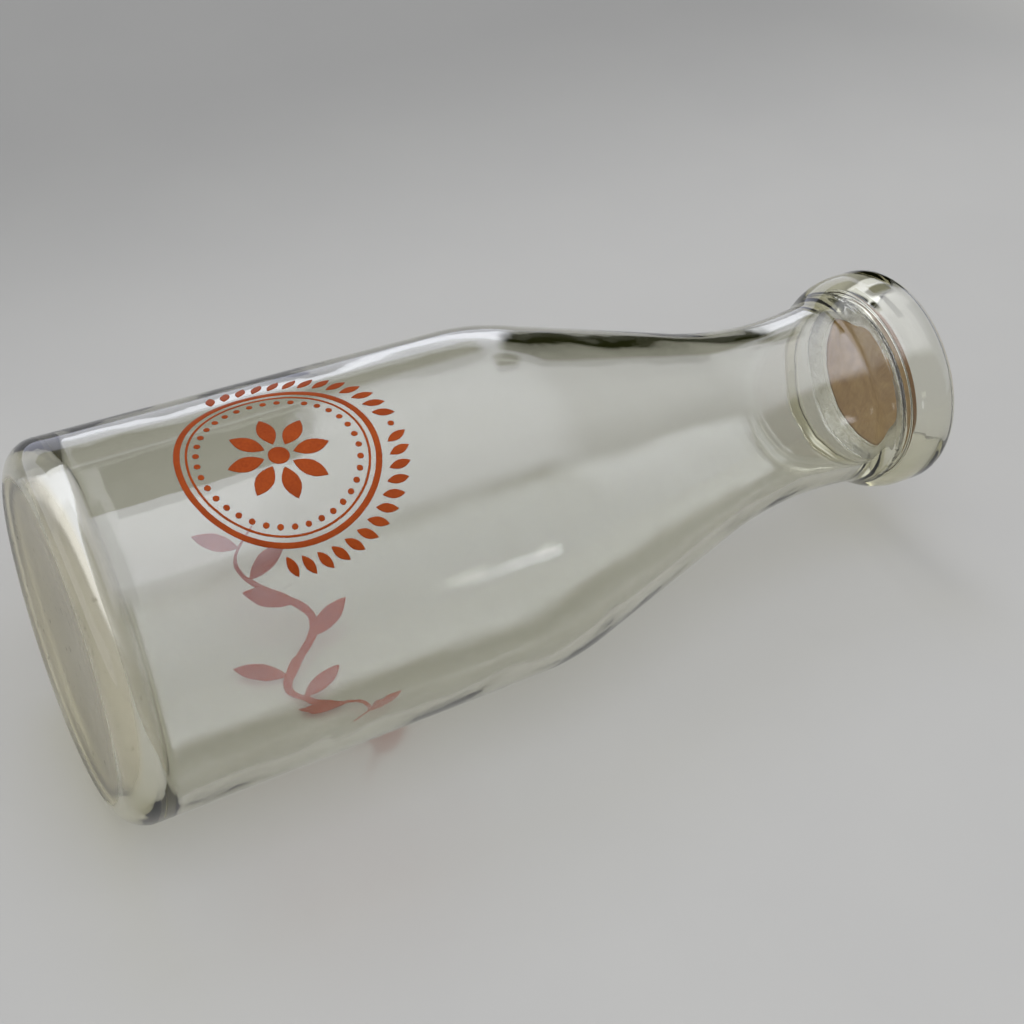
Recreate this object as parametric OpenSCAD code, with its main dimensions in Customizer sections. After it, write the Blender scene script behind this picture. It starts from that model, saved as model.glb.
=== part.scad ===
// A round one-quart glass milk bottle, its paperboard cap and its fired enamel decoration.
// It stands upright on its resting ring: +Z runs up the axis, the origin is the ring's centre,
// and the decorated front faces -Y. All lengths are millimetres and all angles are degrees.

/* [Body] */
// Height from the resting ring to the top of the lip
bottle_h = 243.1; // [234:0.1:255]
// Radius of the body where the heel ends
body_r = 48.5; // [46:0.1:52]
// Angle at which the body leans in from the heel to the shoulder
body_lean = 1.4; // [0.6:0.1:2.2]
// Radius of the round that turns the body into the shoulder
shoulder_arc = 60; // [45:1:75]
// Slope of the shoulder, measured from the axis
shoulder_slope = 17.7; // [16:0.1:20]
// Depth of the neck's narrowest place below the top of the lip
neck_drop = 39.5; // [35:0.1:44]
// Radius of the hollow sweep of the neck
neck_arc = 96; // [80:1:110]
// Thickness of the glass in the body, the shoulder and the neck
wall_t = 3.6; // [2.8:0.1:4.4]

/* [Base] */
// Radius of the round between the resting ring and the body
heel_arc = 8; // [5:0.5:11]
// Radius of the inside round between the floor and the wall
inner_heel_arc = 9; // [6:0.5:12]
// Thickness of the glass at the edge of the floor
base_t = 5; // [4:0.1:7]
// Height of the dome in the middle of the floor
dome_h = 1.6; // [0.8:0.1:2.6]
// Width of the flat ring that the bottle rests on
rest_w = 4.5; // [3:0.1:6]
// Depth of the hollow under the base
push_up = 2.6; // [1.5:0.1:3.5]

/* [Lip] */
// Radius of the round over the top of the lip
lip_arc = 7.9; // [6.5:0.1:9]
// Height of the straight band on the bead
bead_band_h = 4.6; // [3:0.1:6]
// Radius of the round under the bead
bead_under_arc = 17; // [14:0.5:20]
// Radius of the hollow between the bead and the neck
bead_fillet = 7; // [4:0.5:9]
// Radius of the small round on the inner edge of the mouth
mouth_round = 0.9; // [0.6:0.1:1.6]
// How much wider the mouth is than the cap seat, on the radius
mouth_flare = 0.4; // [0.2:0.1:1]

/* [Cap seat] */
// Diameter of the paperboard cap
cap_d = 41.3; // [40:0.1:42]
// Thickness of the paperboard cap
cap_t = 1.2; // [0.8:0.1:1.8]
// Gap between the cap's edge and the wall of its seat
cap_gap = 0.15; // [0.1:0.05:0.3]
// Depth of the cap seat's ledge below the top of the lip
seat_depth = 12.3; // [11:0.1:13]
// Height of the straight wall around the cap
seat_wall_h = 3.4; // [2.4:0.1:4.4]
// Width of the ledge that carries the cap
ledge_w = 1.2; // [0.8:0.1:2]
// Length of the straight throat below the ledge
throat_h = 2; // [1:0.1:4]
// Height of the step where the throat opens into the neck
throat_step_h = 2; // [1:0.1:4]
// Distance from the throat's wall to the outside of the neck at its narrowest
throat_wall = 4.6; // [3.8:0.1:5.6]

/* [Decoration] */
// Thickness of the enamel
enamel_t = 0.14; // [0.08:0.01:0.25]
// Gap that keeps the enamel's own solids clear of the glass
enamel_gap = 0.02; // [0.01:0.005:0.05]
// Height of the medallion's middle
medallion_z = 55; // [48:0.5:62]
// Radius of the medallion
medallion_r = 24; // [20:0.5:26]
// Width of the medallion's outer ring
ring_w = 1.5; // [1:0.1:2]
// Width of the thin ring inside it
thin_ring_w = 0.6; // [0.4:0.1:1]
// Gap between the two rings
ring_gap = 1.1; // [0.7:0.1:1.6]
// Number of beads around the medallion
bead_count = 36; // [24:1:42]
// Radius of one bead
dot_r = 0.8; // [0.5:0.05:1]
// Number of petals on the flower
petal_count = 8; // [5:1:10]
// Length of a petal
petal_l = 9; // [6:0.1:10]
// Width of a petal
petal_w = 4.4; // [2.5:0.1:4.8]
// Radius of the flower's eye
eye_r = 2.6; // [1.5:0.1:3]
// Gap between the eye and the petals
petal_gap = 0.9; // [0.5:0.1:1.5]
// Gap between the medallion and the garland over it
garland_gap = 1.4; // [1:0.1:2.5]
// Length of a leaf in the garland
leaf_l = 5.6; // [4.5:0.1:6.5]
// Width of a leaf in the garland
leaf_w = 2.4; // [1.5:0.1:2.6]
// Number of leaves in each half of the garland
leaf_count = 13; // [6:1:14]
// Slant of the garland's leaves from the radius
leaf_slant = 28; // [10:1:40]
// Half of the garland's sweep around the medallion
garland_sweep = 104; // [80:1:120]
// Height of the middle of the vine on the back
vine_z = 64; // [58:0.5:70]
// Length of the vine around the body
vine_l = 84; // [60:1:96]
// Rise and fall of the vine's stem
vine_rise = 7; // [4:0.5:9]
// Width of the vine's stem
stem_w = 2.8; // [1.2:0.1:3.5]
// Number of waves in the vine's stem
vine_waves = 2; // [1:1:3]
// Length of a leaf on the vine
vine_leaf_l = 15; // [8:0.5:17]
// Width of a leaf on the vine
vine_leaf_w = 5.6; // [3:0.1:7]
// Slant of the vine's leaves from the bottle's axis
vine_leaf_slant = 32; // [15:1:45]

/* [Hidden] */

arc_step = 4;     // largest angle between two points on a drawn round
leaf_step = 30;   // the same along a leaf
disc_step = 6;    // the same on the medallion's rings
stem_steps = 36;  // points along each edge of the vine's stem

// Cap seat, throat, mouth and crest of the lip, each worked out from the cap
cap_r = cap_d / 2;
seat_r = cap_r + cap_gap;
seat_z = bottle_h - seat_depth;
throat_r = seat_r - ledge_w;
throat_z = seat_z - throat_h;
throat_step_z = throat_z - throat_step_h;
mouth_r = seat_r + mouth_flare;
crest_r = mouth_r + mouth_round;

// The neck's hollow sweep runs through its narrowest place and starts on the slope below
neck_r = throat_r + throat_wall;
neck_c = [neck_r + neck_arc, bottle_h - neck_drop];
sweep_start = neck_c - neck_arc * heading(shoulder_slope);

// The shoulder's round turns the leaning body onto the slope, which fixes its height
round_span = shoulder_arc * (heading(body_lean) - heading(shoulder_slope));
slope_run = (body_r + heel_arc * tan(body_lean) - round_span.x - sweep_start.x) / tan(shoulder_slope);
shoulder_z = (sweep_start.y + round_span.y - slope_run) / (1 - tan(body_lean) / tan(shoulder_slope));
shoulder_c = [body_at(shoulder_z), shoulder_z] - shoulder_arc * heading(body_lean);

// The bead: a round top, a straight band, a round underside and a fillet onto the neck
bead_r = crest_r + lip_arc;
band_top_z = bottle_h - lip_arc;
under_c = [bead_r - bead_under_arc, band_top_z - bead_band_h];
fillet_c = meet(under_c, bead_under_arc + bead_fillet, neck_c, neck_arc - bead_fillet);

// Base, floor and inside wall
rest_r = body_r - heel_arc;
hollow_r = rest_r - rest_w;
wall_foot_z = base_t + inner_heel_arc;
wall_foot_r = body_at(wall_foot_z) - wall_t / cos(body_lean);
floor_r = wall_foot_r - inner_heel_arc;

// Circles on which the decoration is set out
eye_edge = eye_r + petal_gap;
thin_ring_r = medallion_r - ring_w - ring_gap;
bead_circle_r = thin_ring_r - thin_ring_w - ring_gap - dot_r;
garland_r = medallion_r + garland_gap + leaf_l / 2;
enamel_r = body_r + enamel_gap + enamel_t;

function heading(a) = [cos(a), sin(a)];
function bearing(p, q) = atan2(q.y - p.y, q.x - p.x);
function spin(p, a) = [p.x * cos(a) - p.y * sin(a), p.x * sin(a) + p.y * cos(a)];

// Radius of the outside of the body at a height between the heel and the shoulder
function body_at(z) = body_r - (z - heel_arc) * tan(body_lean);

// Points on a circle from angle a to angle b
function arc(c, r, a, b) =
    let (n = max(2, ceil(abs(b - a) / arc_step)))
    [for (i = [0 : n]) c + r * heading(a + (b - a) * i / n)];

// A shallow dome of half-width w and height h that starts on the axis and ends at height z
function dome(w, h, z) =
    let (r = (w * w + h * h) / (2 * h), half = asin(w / r), n = 6)
    [for (i = [0 : n]) [0, z + h - r] + r * heading(90 - half * i / n)];

// The lower of the two points where a circle about p crosses a circle about q
function meet(p, pr, q, qr) =
    let (d = norm(q - p), u = (q - p) / d, k = (d * d + pr * pr - qr * qr) / (2 * d))
    p + k * u + sqrt(pr * pr - k * k) * [u.y, -u.x];

function reversed(v) = [for (i = [len(v) - 1 : -1 : 0]) v[i]];

// The outside of the glass from the resting ring up to the crest of the lip
function outside() = concat(
    arc([rest_r, heel_arc], heel_arc, -90, 0),
    arc(shoulder_c, shoulder_arc, body_lean, shoulder_slope),
    arc(neck_c, neck_arc, 180 + shoulder_slope, bearing(neck_c, fillet_c)),
    arc(fillet_c, bead_fillet, bearing(neck_c, fillet_c), bearing(fillet_c, under_c)),
    arc(under_c, bead_under_arc, bearing(under_c, fillet_c), 0),
    arc([crest_r, band_top_z], lip_arc, 0, 90)
);

// The inside of the glass from the middle of the floor up to the inner edge of the mouth
function inside() =
    let (neck_end = asin((throat_step_z - neck_c.y) / (neck_arc + wall_t)))
    concat(
        dome(floor_r, dome_h, base_t),
        arc([floor_r, wall_foot_z], inner_heel_arc, -90, 0),
        arc(shoulder_c, shoulder_arc - wall_t, body_lean, shoulder_slope),
        arc(neck_c, neck_arc + wall_t, 180 + shoulder_slope, 180 - neck_end),
        [[throat_r, throat_z], [throat_r, seat_z], [seat_r, seat_z], [seat_r, seat_z + seat_wall_h]],
        arc([crest_r, bottle_h - mouth_round], mouth_round, 180, 100)
    );

// Outlines on the body's unrolled skin: x runs around the body and y is the height
function disc(c, r) = [for (a = [0 : disc_step : 360 - disc_step]) c + r * heading(a)];
function leaf(c, l, w, turn) = [
    for (t = [-90 : leaf_step : 90 - leaf_step])
        c + spin([w * cos(t) * cos(t), l * sin(t)] / 2, turn),
    for (t = [90 : -leaf_step : leaf_step - 90])
        c + spin([-w * cos(t) * cos(t), l * sin(t)] / 2, turn)
];
// The vine's stem is a wave that thins towards its ends
function stem_at(s) = [s, vine_z + vine_rise * sin(360 * vine_waves * s / vine_l)];
function stem_half(s) = stem_w / 2 * (0.25 + 0.75 * cos(180 * s / vine_l));
function stem() =
    let (places = [for (i = [0 : stem_steps]) vine_l * (i / stem_steps - 0.5)])
    concat(
        [for (s = places) stem_at(s) - [0, stem_half(s)]],
        reversed([for (s = places) stem_at(s) + [0, stem_half(s)]])
    );

// Angle around the body of a place on its unrolled skin
function around(x) = x / body_r * 180 / PI;

// An unrolled outline, wrapped round the front of the body
module patch(outline) {
    rotate([90, 0, 0])
        linear_extrude(height = 2 * enamel_r)
            polygon([for (p = outline) [body_r * sin(around(p.x)), p.y]]);
}

module ring(c, r, w) {
    difference() {
        patch(disc(c, r));
        patch(disc(c, r - w));
    }
}

// A round spot that points straight out of the body
module spot(p, r) {
    rotate([0, 0, around(p.x)])
        translate([0, 0, p.y])
            rotate([90, 0, 0])
                cylinder(r = r, h = 2 * enamel_r);
}

// Gives its shapes the enamel's thickness on the body
module enamel() {
    color("orangered")
        intersection() {
            rotate_extrude()
                polygon([
                    [body_at(heel_arc) + enamel_gap, heel_arc],
                    [body_at(heel_arc) + enamel_gap + enamel_t, heel_arc],
                    [body_at(shoulder_z) + enamel_gap + enamel_t, shoulder_z],
                    [body_at(shoulder_z) + enamel_gap, shoulder_z]
                ]);
            union()
                children();
        }
}

module glass_bottle() {
    color("honeydew", 0.4)
        rotate_extrude()
            polygon(concat(dome(hollow_r, push_up, 0), outside(), reversed(inside())));
}

module paper_cap() {
    color("burlywood")
        translate([0, 0, seat_z])
            cylinder(r = cap_r, h = cap_t);
}

// A ringed flower, with beads around it
module front_medallion() {
    c = [0, medallion_z];
    enamel() {
        ring(c, medallion_r, ring_w);
        ring(c, thin_ring_r, thin_ring_w);
        spot(c, eye_r);
        for (i = [1 : bead_count])
            spot(c + bead_circle_r * heading(360 * i / bead_count), dot_r);
        for (i = [1 : petal_count]) {
            a = 360 * i / petal_count;
            patch(leaf(c + (eye_edge + petal_l / 2) * heading(a), petal_l, petal_w, a - 90));
        }
    }
}

// Two rows of slanted leaves that meet over the medallion
module front_garland() {
    c = [0, medallion_z];
    pitch = garland_sweep / leaf_count;
    enamel() {
        spot(c + garland_r * heading(90), dot_r);
        for (side = [-1, 1])
            for (i = [1 : leaf_count]) {
                a = 90 + side * pitch * i;
                turn = a - 90 - side * leaf_slant;
                patch(leaf(c + garland_r * heading(a), leaf_l, leaf_w, turn));
            }
    }
}

// A waving stem with leaves on both sides of it
module back_vine() {
    leaves = 4 * vine_waves;
    rotate([0, 0, 180])
        enamel() {
            patch(stem());
            for (i = [0 : leaves - 1]) {
                foot = stem_at(vine_l * ((i + 0.5) / leaves - 0.5));
                turn = i % 2 == 0 ? -vine_leaf_slant : 180 + vine_leaf_slant;
                middle = foot + vine_leaf_l / 2 * heading(turn + 90);
                patch(leaf(middle, vine_leaf_l, vine_leaf_w, turn));
            }
        }
}

glass_bottle();
paper_cap();
front_medallion();
front_garland();
back_vine();
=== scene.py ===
import math
import bpy
from mathutils import Matrix, Vector


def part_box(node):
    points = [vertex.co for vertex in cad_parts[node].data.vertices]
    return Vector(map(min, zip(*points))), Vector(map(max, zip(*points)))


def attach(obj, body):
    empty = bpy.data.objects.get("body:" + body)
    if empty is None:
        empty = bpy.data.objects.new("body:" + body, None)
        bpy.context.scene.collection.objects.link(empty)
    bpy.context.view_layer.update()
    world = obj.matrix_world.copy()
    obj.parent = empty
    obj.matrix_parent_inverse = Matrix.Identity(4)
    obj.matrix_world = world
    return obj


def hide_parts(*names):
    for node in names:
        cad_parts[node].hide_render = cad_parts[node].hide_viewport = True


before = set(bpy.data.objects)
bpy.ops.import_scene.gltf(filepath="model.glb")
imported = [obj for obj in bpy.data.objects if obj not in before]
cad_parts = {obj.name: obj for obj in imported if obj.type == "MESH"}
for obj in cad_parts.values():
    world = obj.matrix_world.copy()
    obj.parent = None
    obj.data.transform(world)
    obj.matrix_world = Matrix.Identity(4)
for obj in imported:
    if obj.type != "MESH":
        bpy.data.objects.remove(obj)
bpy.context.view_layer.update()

mm = 0.001


def linear(hexColour):
    parts = [int(hexColour[i:i + 2], 16) / 255 for i in (1, 3, 5)]
    return [c / 12.92 if c <= 0.04045 else ((c + 0.055) / 1.055) ** 2.4 for c in parts] + [1.0]


# adds one node: its own settings by name, and its inputs by socket name or number, each a value, a socket or a
# node, whose first live output is taken
def addNode(tree, kind, inputs=None, **settings):
    node = tree.nodes.new(kind)
    for name, value in settings.items():
        setattr(node, name, value)
    for key, value in (inputs or {}).items():
        live = [socket for socket in node.inputs if socket.name == key and socket.enabled]
        socket = live[0] if live else node.inputs[key]
        if isinstance(value, bpy.types.Node):
            value = [output for output in value.outputs if output.enabled][0]
        if isinstance(value, bpy.types.NodeSocket):
            tree.links.new(value, socket)
        else:
            socket.default_value = value
    return node


def newMaterial(name):
    material = bpy.data.materials.new(name)
    material.use_nodes = True
    material.node_tree.nodes.clear()
    return material, material.node_tree


# an empty tree that gives out a geometry; each input has a kind and a value
def newTree(name, given):
    tree = bpy.data.node_groups.new(name, "GeometryNodeTree")
    for label, (kind, value) in given.items():
        socket = tree.interface.new_socket(label, in_out="INPUT", socket_type="NodeSocket" + kind)
        if value is not None:
            socket.default_value = value
    tree.interface.new_socket("Geometry", in_out="OUTPUT", socket_type="NodeSocketGeometry")
    return tree, addNode(tree, "NodeGroupInput").outputs


# ---- camera: the bottle lies down, and this is the way up from the table in the bottle's frame
restTurn = 15.1
tableUp = Vector((-math.sin(math.radians(restTurn)), -math.cos(math.radians(restTurn)), 0))

camera = {
    "place": (262.4, -419.9, -63.8),  # mm
    "target": (17.5, -20.3, 110.0),
    "lens": 71.72,  # mm on a 36 mm square frame
}
cameraData = bpy.data.cameras.new("camera")
cameraData.lens = camera["lens"]
cameraData.sensor_width = 36
cameraData.clip_start = 0.01
cameraObject = bpy.data.objects.new("camera", cameraData)
bpy.context.collection.objects.link(cameraObject)
place = Vector(camera["place"]) * mm
back = (place - Vector(camera["target"]) * mm).normalized()
right = tableUp.cross(back).normalized()
up = back.cross(right)
cameraObject.matrix_world = Matrix((
    (right.x, up.x, back.x, place.x),
    (right.y, up.y, back.y, place.y),
    (right.z, up.z, back.z, place.z),
    (0, 0, 0, 1),
))
bpy.context.scene.camera = cameraObject
print("camera set")

# ---- the glass
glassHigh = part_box("glass_bottle")[1]
capLow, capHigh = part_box("paper_cap")
bottle = {  # mm and degrees
    "height": glassHigh[2] / mm,
    "bodyRadius": glassHigh[0] / mm,
    "bodyLean": 1.4,
    "heelRound": 8.0,
    "shoulderRound": 60.0,
    "shoulderSlope": 17.7,
    "neckDrop": 39.5,
    "neckSweep": 96.0,
    "wall": 3.6,
    "floor": 5.0,
    "floorDome": 1.6,
    "innerHeelRound": 9.0,
    "restWidth": 4.5,
    "pushUp": 2.6,
    "lipRound": 7.9,
    "beadBand": 4.6,
    "beadUnder": 17.0,
    "beadFillet": 7.0,
    "mouthRound": 0.9,
    "mouthFlare": 0.4,
    "capGap": 0.15,
    "seatWall": 3.4,
    "ledge": 1.2,
    "throat": 2.0,
    "throatStep": 2.0,
    "throatWall": 4.6,
    "cornerRound": 0.45,
    "turns": 256,
    "wander": 1.0,  # how far the blown inside wanders, and over what length
    "wanderSize": 34.0,
    "blownTo": 205.0,  # the wander fades out below this height
    "blownFade": 12.0,
}


def heading(angle):
    return Vector((math.cos(math.radians(angle)), math.sin(math.radians(angle))))


def bearing(a, b):
    return math.degrees(math.atan2(b.y - a.y, b.x - a.x))


def arcPoints(centre, radius, start, end, gap=1.2):
    steps = max(3, math.ceil(abs(math.radians(end - start)) * radius / gap))
    steps = max(steps, math.ceil(abs(end - start) / 9))
    return [centre + radius * heading(start + (end - start) * i / steps) for i in range(steps + 1)]


def domePoints(width, height, z):
    radius = (width ** 2 + height ** 2) / (2 * height)
    half = math.degrees(math.asin(width / radius))
    return arcPoints(Vector((0, z + height - radius)), radius, 90, 90 - half, 2.0)


def circleMeet(p, pr, q, qr):
    d = (q - p).length
    u = (q - p) / d
    k = (d * d + pr * pr - qr * qr) / (2 * d)
    return p + k * u + math.sqrt(pr * pr - k * k) * Vector((u.y, -u.x))


# a straight run with points no further apart than the gap, without its end
def runPoints(a, b, gap=3.0):
    steps = max(1, math.ceil((b - a).length / gap))
    return [a + (b - a) * i / steps for i in range(steps)]


# the corner between two straight lines, as a small round
def cornerPoints(before, corner, after, radius):
    a = (before - corner).normalized()
    b = (after - corner).normalized()
    half = a.angle(b) / 2
    reach = radius / math.tan(half)
    centre = corner + (a + b).normalized() * radius / math.sin(half)
    start, end = corner + a * reach, corner + b * reach
    first, last = bearing(centre, start), bearing(centre, end)
    turn = (last - first + 180) % 360 - 180
    return arcPoints(centre, radius, first, first + turn, 0.15)


def bottleProfile(b):
    lean, slope = b["bodyLean"], b["shoulderSlope"]

    def bodyAt(z):
        return b["bodyRadius"] - (z - b["heelRound"]) * math.tan(math.radians(lean))

    capRadius = capHigh[0] / mm
    seatRadius = capRadius + b["capGap"]
    seatZ = capLow[2] / mm
    throatRadius = seatRadius - b["ledge"]
    throatZ = seatZ - b["throat"]
    mouthRadius = seatRadius + b["mouthFlare"]
    crestRadius = mouthRadius + b["mouthRound"]
    neckCentre = Vector((throatRadius + b["throatWall"] + b["neckSweep"], b["height"] - b["neckDrop"]))
    sweepStart = neckCentre - b["neckSweep"] * heading(slope)
    span = b["shoulderRound"] * (heading(lean) - heading(slope))
    tanLean, tanSlope = math.tan(math.radians(lean)), math.tan(math.radians(slope))
    run = (b["bodyRadius"] + b["heelRound"] * tanLean - span.x - sweepStart.x) / tanSlope
    shoulderZ = (sweepStart.y + span.y - run) / (1 - tanLean / tanSlope)
    shoulderCentre = Vector((bodyAt(shoulderZ), shoulderZ)) - b["shoulderRound"] * heading(lean)
    beadRadius = crestRadius + b["lipRound"]
    bandTop = b["height"] - b["lipRound"]
    underCentre = Vector((beadRadius - b["beadUnder"], bandTop - b["beadBand"]))
    filletCentre = circleMeet(underCentre, b["beadUnder"] + b["beadFillet"],
                              neckCentre, b["neckSweep"] - b["beadFillet"])
    restRadius = b["bodyRadius"] - b["heelRound"]
    hollowRadius = restRadius - b["restWidth"]
    footZ = b["floor"] + b["innerHeelRound"]
    floorRadius = bodyAt(footZ) - b["wall"] / math.cos(math.radians(lean)) - b["innerHeelRound"]

    outside = domePoints(hollowRadius, b["pushUp"], 0)
    outside += arcPoints(Vector((restRadius, b["heelRound"])), b["heelRound"], -90, 0, 0.8)
    outside += runPoints(Vector((b["bodyRadius"], b["heelRound"])), Vector((bodyAt(shoulderZ), shoulderZ)))[1:]
    outside += arcPoints(shoulderCentre, b["shoulderRound"], lean, slope)
    outside += runPoints(outside[-1], sweepStart)[1:]
    outside += arcPoints(neckCentre, b["neckSweep"], 180 + slope, bearing(neckCentre, filletCentre), 2.0)
    outside += arcPoints(filletCentre, b["beadFillet"], bearing(neckCentre, filletCentre),
                         bearing(filletCentre, underCentre), 0.6)[1:]
    outside += arcPoints(underCentre, b["beadUnder"], bearing(underCentre, filletCentre), 0, 0.6)[1:]
    outside += arcPoints(Vector((crestRadius, bandTop)), b["lipRound"], 0, 90, 0.6)
    inside = domePoints(floorRadius, b["floorDome"], b["floor"])
    inside += arcPoints(Vector((floorRadius, footZ)), b["innerHeelRound"], -90, 0, 1.0)[1:]
    wallRound = b["shoulderRound"] - b["wall"]
    inside += runPoints(inside[-1], shoulderCentre + wallRound * heading(lean), 2.5)[1:]
    inside += arcPoints(shoulderCentre, wallRound, lean, slope)
    innerSweep = b["neckSweep"] + b["wall"]
    inside += runPoints(inside[-1], neckCentre - innerSweep * heading(slope), 2.5)[1:]
    stepZ = throatZ - b["throatStep"]
    stepTurn = math.degrees(math.asin((stepZ - neckCentre.y) / innerSweep))
    inside += arcPoints(neckCentre, innerSweep, 180 + slope, 180 - stepTurn, 1.6)
    throatFoot = Vector((throatRadius, throatZ))
    ledgeEdge = Vector((throatRadius, seatZ))
    seatFoot = Vector((seatRadius, seatZ))
    seatTop = Vector((seatRadius, seatZ + b["seatWall"]))
    mouthFoot = Vector((mouthRadius, b["height"] - b["mouthRound"]))
    corners = [inside[-1], throatFoot, ledgeEdge, seatFoot, seatTop, mouthFoot]
    rounds = [1.6, b["cornerRound"], b["cornerRound"] * 0.6, 1.2]
    for i, radius in enumerate(rounds, 1):
        inside += cornerPoints(corners[i - 1], corners[i], corners[i + 1], radius)
    inside += arcPoints(Vector((crestRadius, b["height"] - b["mouthRound"])), b["mouthRound"], 180, 90, 0.3)[:-1]
    return outside, inside


# turns the profile round the axis, and lets the blown inside wander a little
def latheTree():
    tree, given = newTree("latheBottle", {
        "Geometry": ("Geometry", None), "Turns": ("Int", 256), "Rows": ("Int", 300), "Wander": ("Float", 0.0003),
        "Wander size": ("Float", 0.03), "Glass": ("Material", None)})
    cols = addNode(tree, "ShaderNodeMath", {0: given["Turns"], 1: 1.0}, operation="ADD")
    last = addNode(tree, "ShaderNodeMath", {0: given["Rows"], 1: 1.0}, operation="SUBTRACT")
    grid = addNode(tree, "GeometryNodeMeshGrid", {"Size X": math.tau, "Size Y": last, "Vertices X": cols,
                                                  "Vertices Y": given["Rows"]})
    here = addNode(tree, "GeometryNodeInputPosition")
    spot = addNode(tree, "ShaderNodeSeparateXYZ", {0: here}).outputs
    half = addNode(tree, "ShaderNodeMath", {0: last, 1: 0.5}, operation="MULTIPLY")
    row = addNode(tree, "ShaderNodeMath", {0: spot["Y"], 1: half}, operation="ADD")
    index = addNode(tree, "FunctionNodeFloatToInt", {0: row}, rounding_mode="ROUND")
    profilePlace = addNode(tree, "GeometryNodeSampleIndex", {"Geometry": given["Geometry"], "Value": here,
                                                             "Index": index}, data_type="FLOAT_VECTOR")
    freedom = addNode(tree, "GeometryNodeInputNamedAttribute", {"Name": "freedom"}, data_type="FLOAT")
    freedomThere = addNode(tree, "GeometryNodeSampleIndex", {
        "Geometry": given["Geometry"], "Value": freedom.outputs["Attribute"], "Index": index}, data_type="FLOAT")
    profile = addNode(tree, "ShaderNodeSeparateXYZ", {0: profilePlace}).outputs
    cosine = addNode(tree, "ShaderNodeMath", {0: spot["X"]}, operation="COSINE")
    sine = addNode(tree, "ShaderNodeMath", {0: spot["X"]}, operation="SINE")
    # the noise is read on a ring, so that it closes on itself
    ring = addNode(tree, "ShaderNodeCombineXYZ", {0: cosine, 1: sine})
    ringPlace = addNode(tree, "ShaderNodeVectorMath", {0: ring, "Scale": 0.045}, operation="SCALE")
    rise = addNode(tree, "ShaderNodeCombineXYZ", {2: profile["Z"]})
    noisePlace = addNode(tree, "ShaderNodeVectorMath", {0: ringPlace, 1: rise}, operation="ADD")
    scale = addNode(tree, "ShaderNodeMath", {0: 1.0, 1: given["Wander size"]}, operation="DIVIDE")
    wander = addNode(tree, "ShaderNodeTexNoise", {"Vector": noisePlace, "Scale": scale, "Detail": 1.5,
                                                  "Roughness": 0.4})
    centred = addNode(tree, "ShaderNodeMath", {0: wander, 1: 0.5}, operation="SUBTRACT")
    sized = addNode(tree, "ShaderNodeMath", {0: centred, 1: given["Wander"]}, operation="MULTIPLY")
    freed = addNode(tree, "ShaderNodeMath", {0: sized, 1: freedomThere}, operation="MULTIPLY")
    radius = addNode(tree, "ShaderNodeMath", {0: profile["X"], 1: freed}, operation="ADD")
    flatPlace = addNode(tree, "ShaderNodeVectorMath", {0: ring, "Scale": radius}, operation="SCALE")
    place = addNode(tree, "ShaderNodeVectorMath", {0: flatPlace, 1: rise}, operation="ADD")
    turned = addNode(tree, "GeometryNodeSetPosition", {"Geometry": grid, "Position": place})
    merged = addNode(tree, "GeometryNodeMergeByDistance", {"Geometry": turned, "Distance": 1e-6})
    smooth = addNode(tree, "GeometryNodeSetShadeSmooth", {"Geometry": merged})
    real = addNode(tree, "GeometryNodeRealizeInstances", {"Geometry": smooth})
    coloured = addNode(tree, "GeometryNodeSetMaterial", {"Geometry": real, "Material": given["Glass"]})
    addNode(tree, "NodeGroupOutput", {0: coloured})
    return tree


# puts a tree on an object, sets its inputs by their names and gives back a plain mesh object
def grow(source, tree, name, **inputs):
    modifier = source.modifiers.new("grow", "NODES")
    modifier.node_group = tree
    for item in tree.interface.items_tree:
        key = item.name.replace(" ", "_")
        if item.item_type == "SOCKET" and item.in_out == "INPUT" and key in inputs:
            modifier[item.identifier] = inputs[key]
    graph = bpy.context.evaluated_depsgraph_get()
    graph.update()
    mesh = bpy.data.meshes.new_from_object(source.evaluated_get(graph), depsgraph=graph)
    source.modifiers.clear()
    bpy.data.objects.remove(source)
    mesh.name = name
    made = bpy.data.objects.new(name, mesh)
    bpy.context.collection.objects.link(made)
    return made


# a profile as a line of points, each with its freedom to wander
def lineObject(name, points, freedoms):
    mesh = bpy.data.meshes.new(name)
    mesh.from_pydata(points, [(i, i + 1) for i in range(len(points) - 1)], [])
    mesh.attributes.new("freedom", "FLOAT", "POINT").data.foreach_set("value", freedoms)
    made = bpy.data.objects.new(name, mesh)
    bpy.context.collection.objects.link(made)
    return made


# soda-lime glass, pressed and blown: clear, with soft waves in its skin, faintly olive where a ray goes far
# through it, a grained foot with some seeds and grime in it, and a wrinkled, duller step under the throat with painted
# shade
glassFinish = {
    "ripple": 9.0,  # mm between the soft waves of the skin
    "rippleDepth": 0.06,
    "grain": 0.55,  # mm between the grains on the foot
    "grainDepth": 0.05,
    "wrinkle": 2.2,  # mm between the wrinkles of the throat's step
    "wrinkleDepth": 0.8,
    "seed": 3.4,  # mm between the foot's seeds
    "footTop": 3.4,  # how high the foot's grain goes, and how far out
    "footRadius": 41.5,
    "stepSpill": 0.5,  # how far the wrinkles go past the step, and how far out
    "stepRadius": 23.4,
    "footRough": 0.3,
    "stepRough": 0.42,
    "clear": "#eaeae4",
    "footTone": "#e9dfc4",
    # the foot's grime, and also the painted shade on the throat's wrinkled step
    "grimeAndStepShade": "#8d8468",
    "depth": ("#d5cb26", 15.0),  # the tint deep in the glass, and its density
}


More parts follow.
